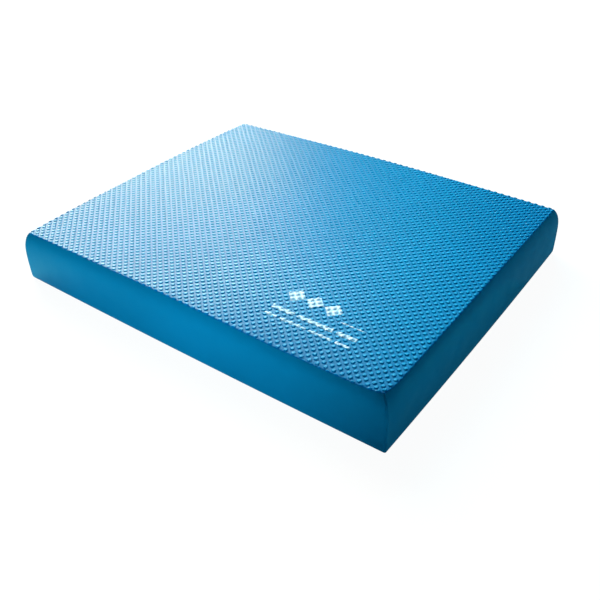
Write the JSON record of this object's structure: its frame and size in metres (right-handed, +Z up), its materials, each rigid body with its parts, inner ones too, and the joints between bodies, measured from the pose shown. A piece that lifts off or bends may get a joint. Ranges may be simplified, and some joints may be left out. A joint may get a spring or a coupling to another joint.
{
  "type": "balance pad",
  "caption": "Thick rectangular closed-cell foam balance pad with bulging smooth walls and a bumped non-slip tread on both faces.",
  "frame": {"origin": "on the floor, under the middle of the pad", "axes": "+X along the long edge, +Y along the short edge away from the front wall, +Z up through the thickness"},
  "size_m": [0.5, 0.41, 0.065],
  "materials": {
    "foam": "matte fine closed-cell foam",
    "tread_skin": "satin moulded foam skin with round bumps",
    "wall_skin": "smooth satin moulded foam skin",
    "ink": "flat white printed ink"
  },
  "bodies": {
    "root": {"foam_core": "foam", "top_tread_skin": "tread_skin", "bottom_tread_skin": "tread_skin", "front_wall_skin": "wall_skin", "right_wall_skin": "wall_skin", "back_wall_skin": "wall_skin", "left_wall_skin": "wall_skin", "printed_mark": "ink"}
  },
  "joints": []
}
